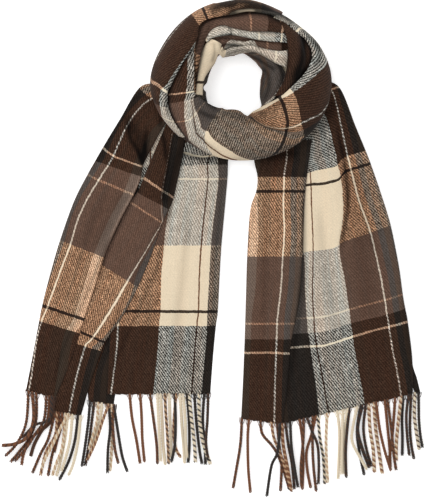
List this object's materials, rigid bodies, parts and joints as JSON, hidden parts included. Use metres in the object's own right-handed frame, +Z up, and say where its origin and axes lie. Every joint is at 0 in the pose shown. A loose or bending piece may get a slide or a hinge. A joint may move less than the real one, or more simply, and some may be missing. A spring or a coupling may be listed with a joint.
{
  "type": "blanket scarf",
  "caption": "Long checked woollen blanket scarf with twisted tassels, wound once into a ring and laid flat with both tails straight down.",
  "frame": {"origin": "middle of the scarf's outline seen from above, on the surface it lies on", "axes": "+Y from the tails towards the wound ring, +X to the right seen from above, +Z up off the surface"},
  "size_m": [0.6302, 0.7426, 0.0653],
  "materials": {
    "plaid_brown": "brushed twill, matt",
    "plaid_tan": "brushed twill, matt",
    "plaid_charcoal": "brushed twill, matt",
    "plaid_grey": "brushed twill, matt",
    "plaid_cream": "brushed twill, matt",
    "tassel_yarn": "twisted yarn, matt"
  },
  "bodies": {
    "root": {"collar_band": "plaid_brown", "collar_fold_dark": "plaid_brown", "collar_fold_light": "plaid_grey", "collar_fold_low": "plaid_grey", "fringe_left_fold": "tassel_yarn", "fringe_left_inner": "tassel_yarn", "fringe_left_outer": "tassel_yarn", "fringe_left_panel": "tassel_yarn", "fringe_right_fold": "tassel_yarn", "fringe_right_left": "tassel_yarn", "fringe_right_main": "tassel_yarn", "front_loop": "plaid_brown", "inner_cream_fold": "plaid_cream", "inner_left_band": "plaid_charcoal", "inner_right_band": "plaid_charcoal", "left_flap_inner": "plaid_brown", "left_flap_outer": "plaid_tan", "left_panel": "plaid_cream", "left_tail_core": "plaid_brown", "left_under_fold": "plaid_charcoal", "outer_band": "plaid_brown", "right_inner_fold": "plaid_brown", "right_panel_left": "plaid_tan", "right_panel_main": "plaid_tan", "right_tail_core": "plaid_brown", "right_under_fold": "plaid_charcoal", "ring_base_back": "plaid_brown", "ring_base_front": "plaid_brown", "ring_core": "plaid_brown"}
  },
  "joints": []
}
